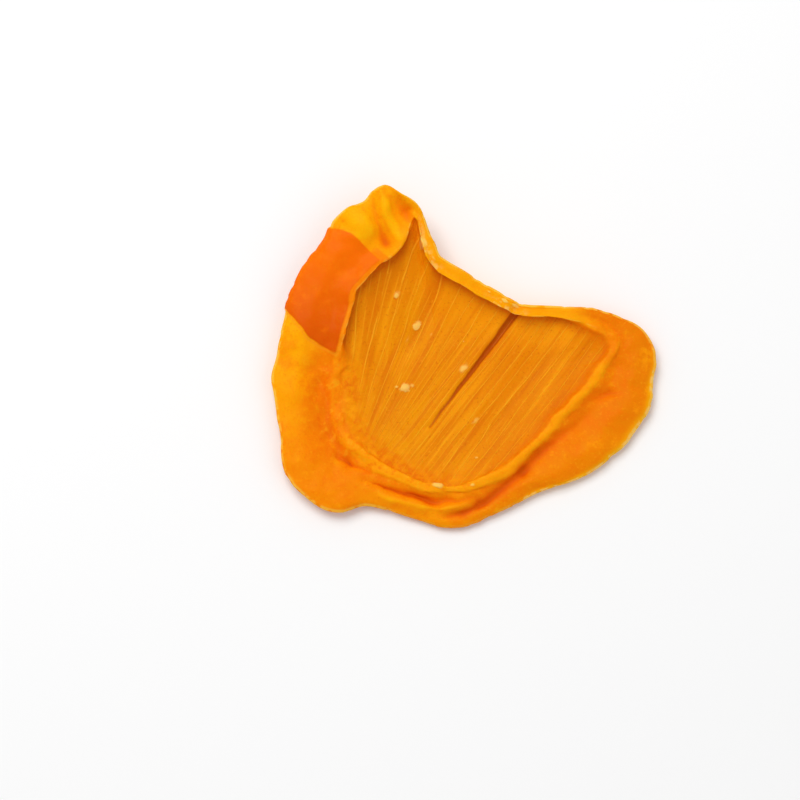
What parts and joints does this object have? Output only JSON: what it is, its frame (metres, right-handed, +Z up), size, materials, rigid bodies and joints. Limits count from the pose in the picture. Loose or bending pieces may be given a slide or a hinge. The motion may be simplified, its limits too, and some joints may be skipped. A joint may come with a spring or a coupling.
{
  "type": "dried persimmon slice",
  "caption": "Lengthwise slice of dried persimmon, curled like a shallow dish, with a fibrous sunken cut face inside a raised rim and a strip of skin left on one side.",
  "frame": {"origin": "middle of the slice's bounding box, on the surface it lies on", "axes": "+Z up, out of the cut face; +X along the slice's longest way, towards its broad round end; +Y towards the rim that stands up and the pinched tip"},
  "size_m": [0.0728, 0.0642, 0.0103],
  "materials": {
    "dried_flesh": "slightly sticky, soft sheen"
  },
  "bodies": {
    "root": {"persimmon_slice": "dried_flesh"}
  },
  "joints": []
}
